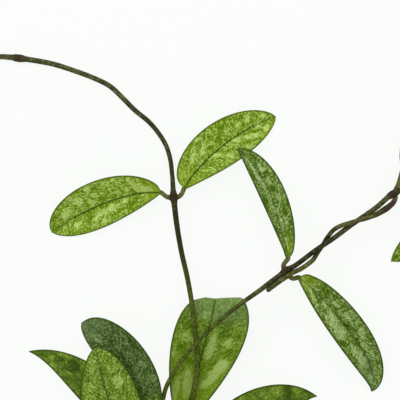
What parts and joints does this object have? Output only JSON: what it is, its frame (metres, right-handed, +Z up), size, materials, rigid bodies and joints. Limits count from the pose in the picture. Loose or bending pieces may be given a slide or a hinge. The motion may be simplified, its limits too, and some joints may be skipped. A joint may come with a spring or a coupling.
{
  "type": "splashed hoya vine",
  "caption": "Cut climbing hoya vine laid flat: forked stems, a twining shoot and thick leathery leaves with pale splashes on green.",
  "frame": {"origin": "on the surface that the plant lies on, under the middle of its box", "axes": "+X to the right, along the longer side, towards the right vine's growing end; +Y from the cut foot towards the growing ends; +Z up"},
  "size_m": [0.3661, 0.2913, 0.0261],
  "materials": {
    "olive_stem": "smooth olive bark, brown at the nodes",
    "brown_stem": "smooth dark brown bark, olive towards the end",
    "young_stem": "smooth green-brown young bark",
    "lime_leaf": "satin leaf, lime green with dense pale splashes",
    "silver_leaf": "satin leaf, green with silver-grey splashes",
    "young_leaf": "satin leaf, light green with pale splashes",
    "patched_leaf": "satin leaf, green with long pale patches",
    "dark_leaf": "satin leaf, dark green with grey flecks",
    "bright_leaf": "satin leaf, yellow-green with pale flecks",
    "green_leaf": "satin leaf, mid green with few flecks"
  },
  "bodies": {
    "root": {"left_vine": "olive_stem", "right_vine": "brown_stem", "twining_shoot": "young_stem", "left_vine_leaf_left": "lime_leaf", "left_vine_leaf_right": "lime_leaf", "right_vine_leaf_upper": "silver_leaf", "right_vine_leaf_lower": "silver_leaf", "end_leaf_upper": "young_leaf", "end_leaf_lower": "young_leaf", "end_leaf_last": "young_leaf", "base_leaf_round": "patched_leaf", "base_leaf_dark": "dark_leaf", "base_leaf_bright": "bright_leaf", "base_leaf_left": "green_leaf", "base_leaf_right": "green_leaf", "base_leaf_last": "green_leaf"}
  },
  "joints": []
}
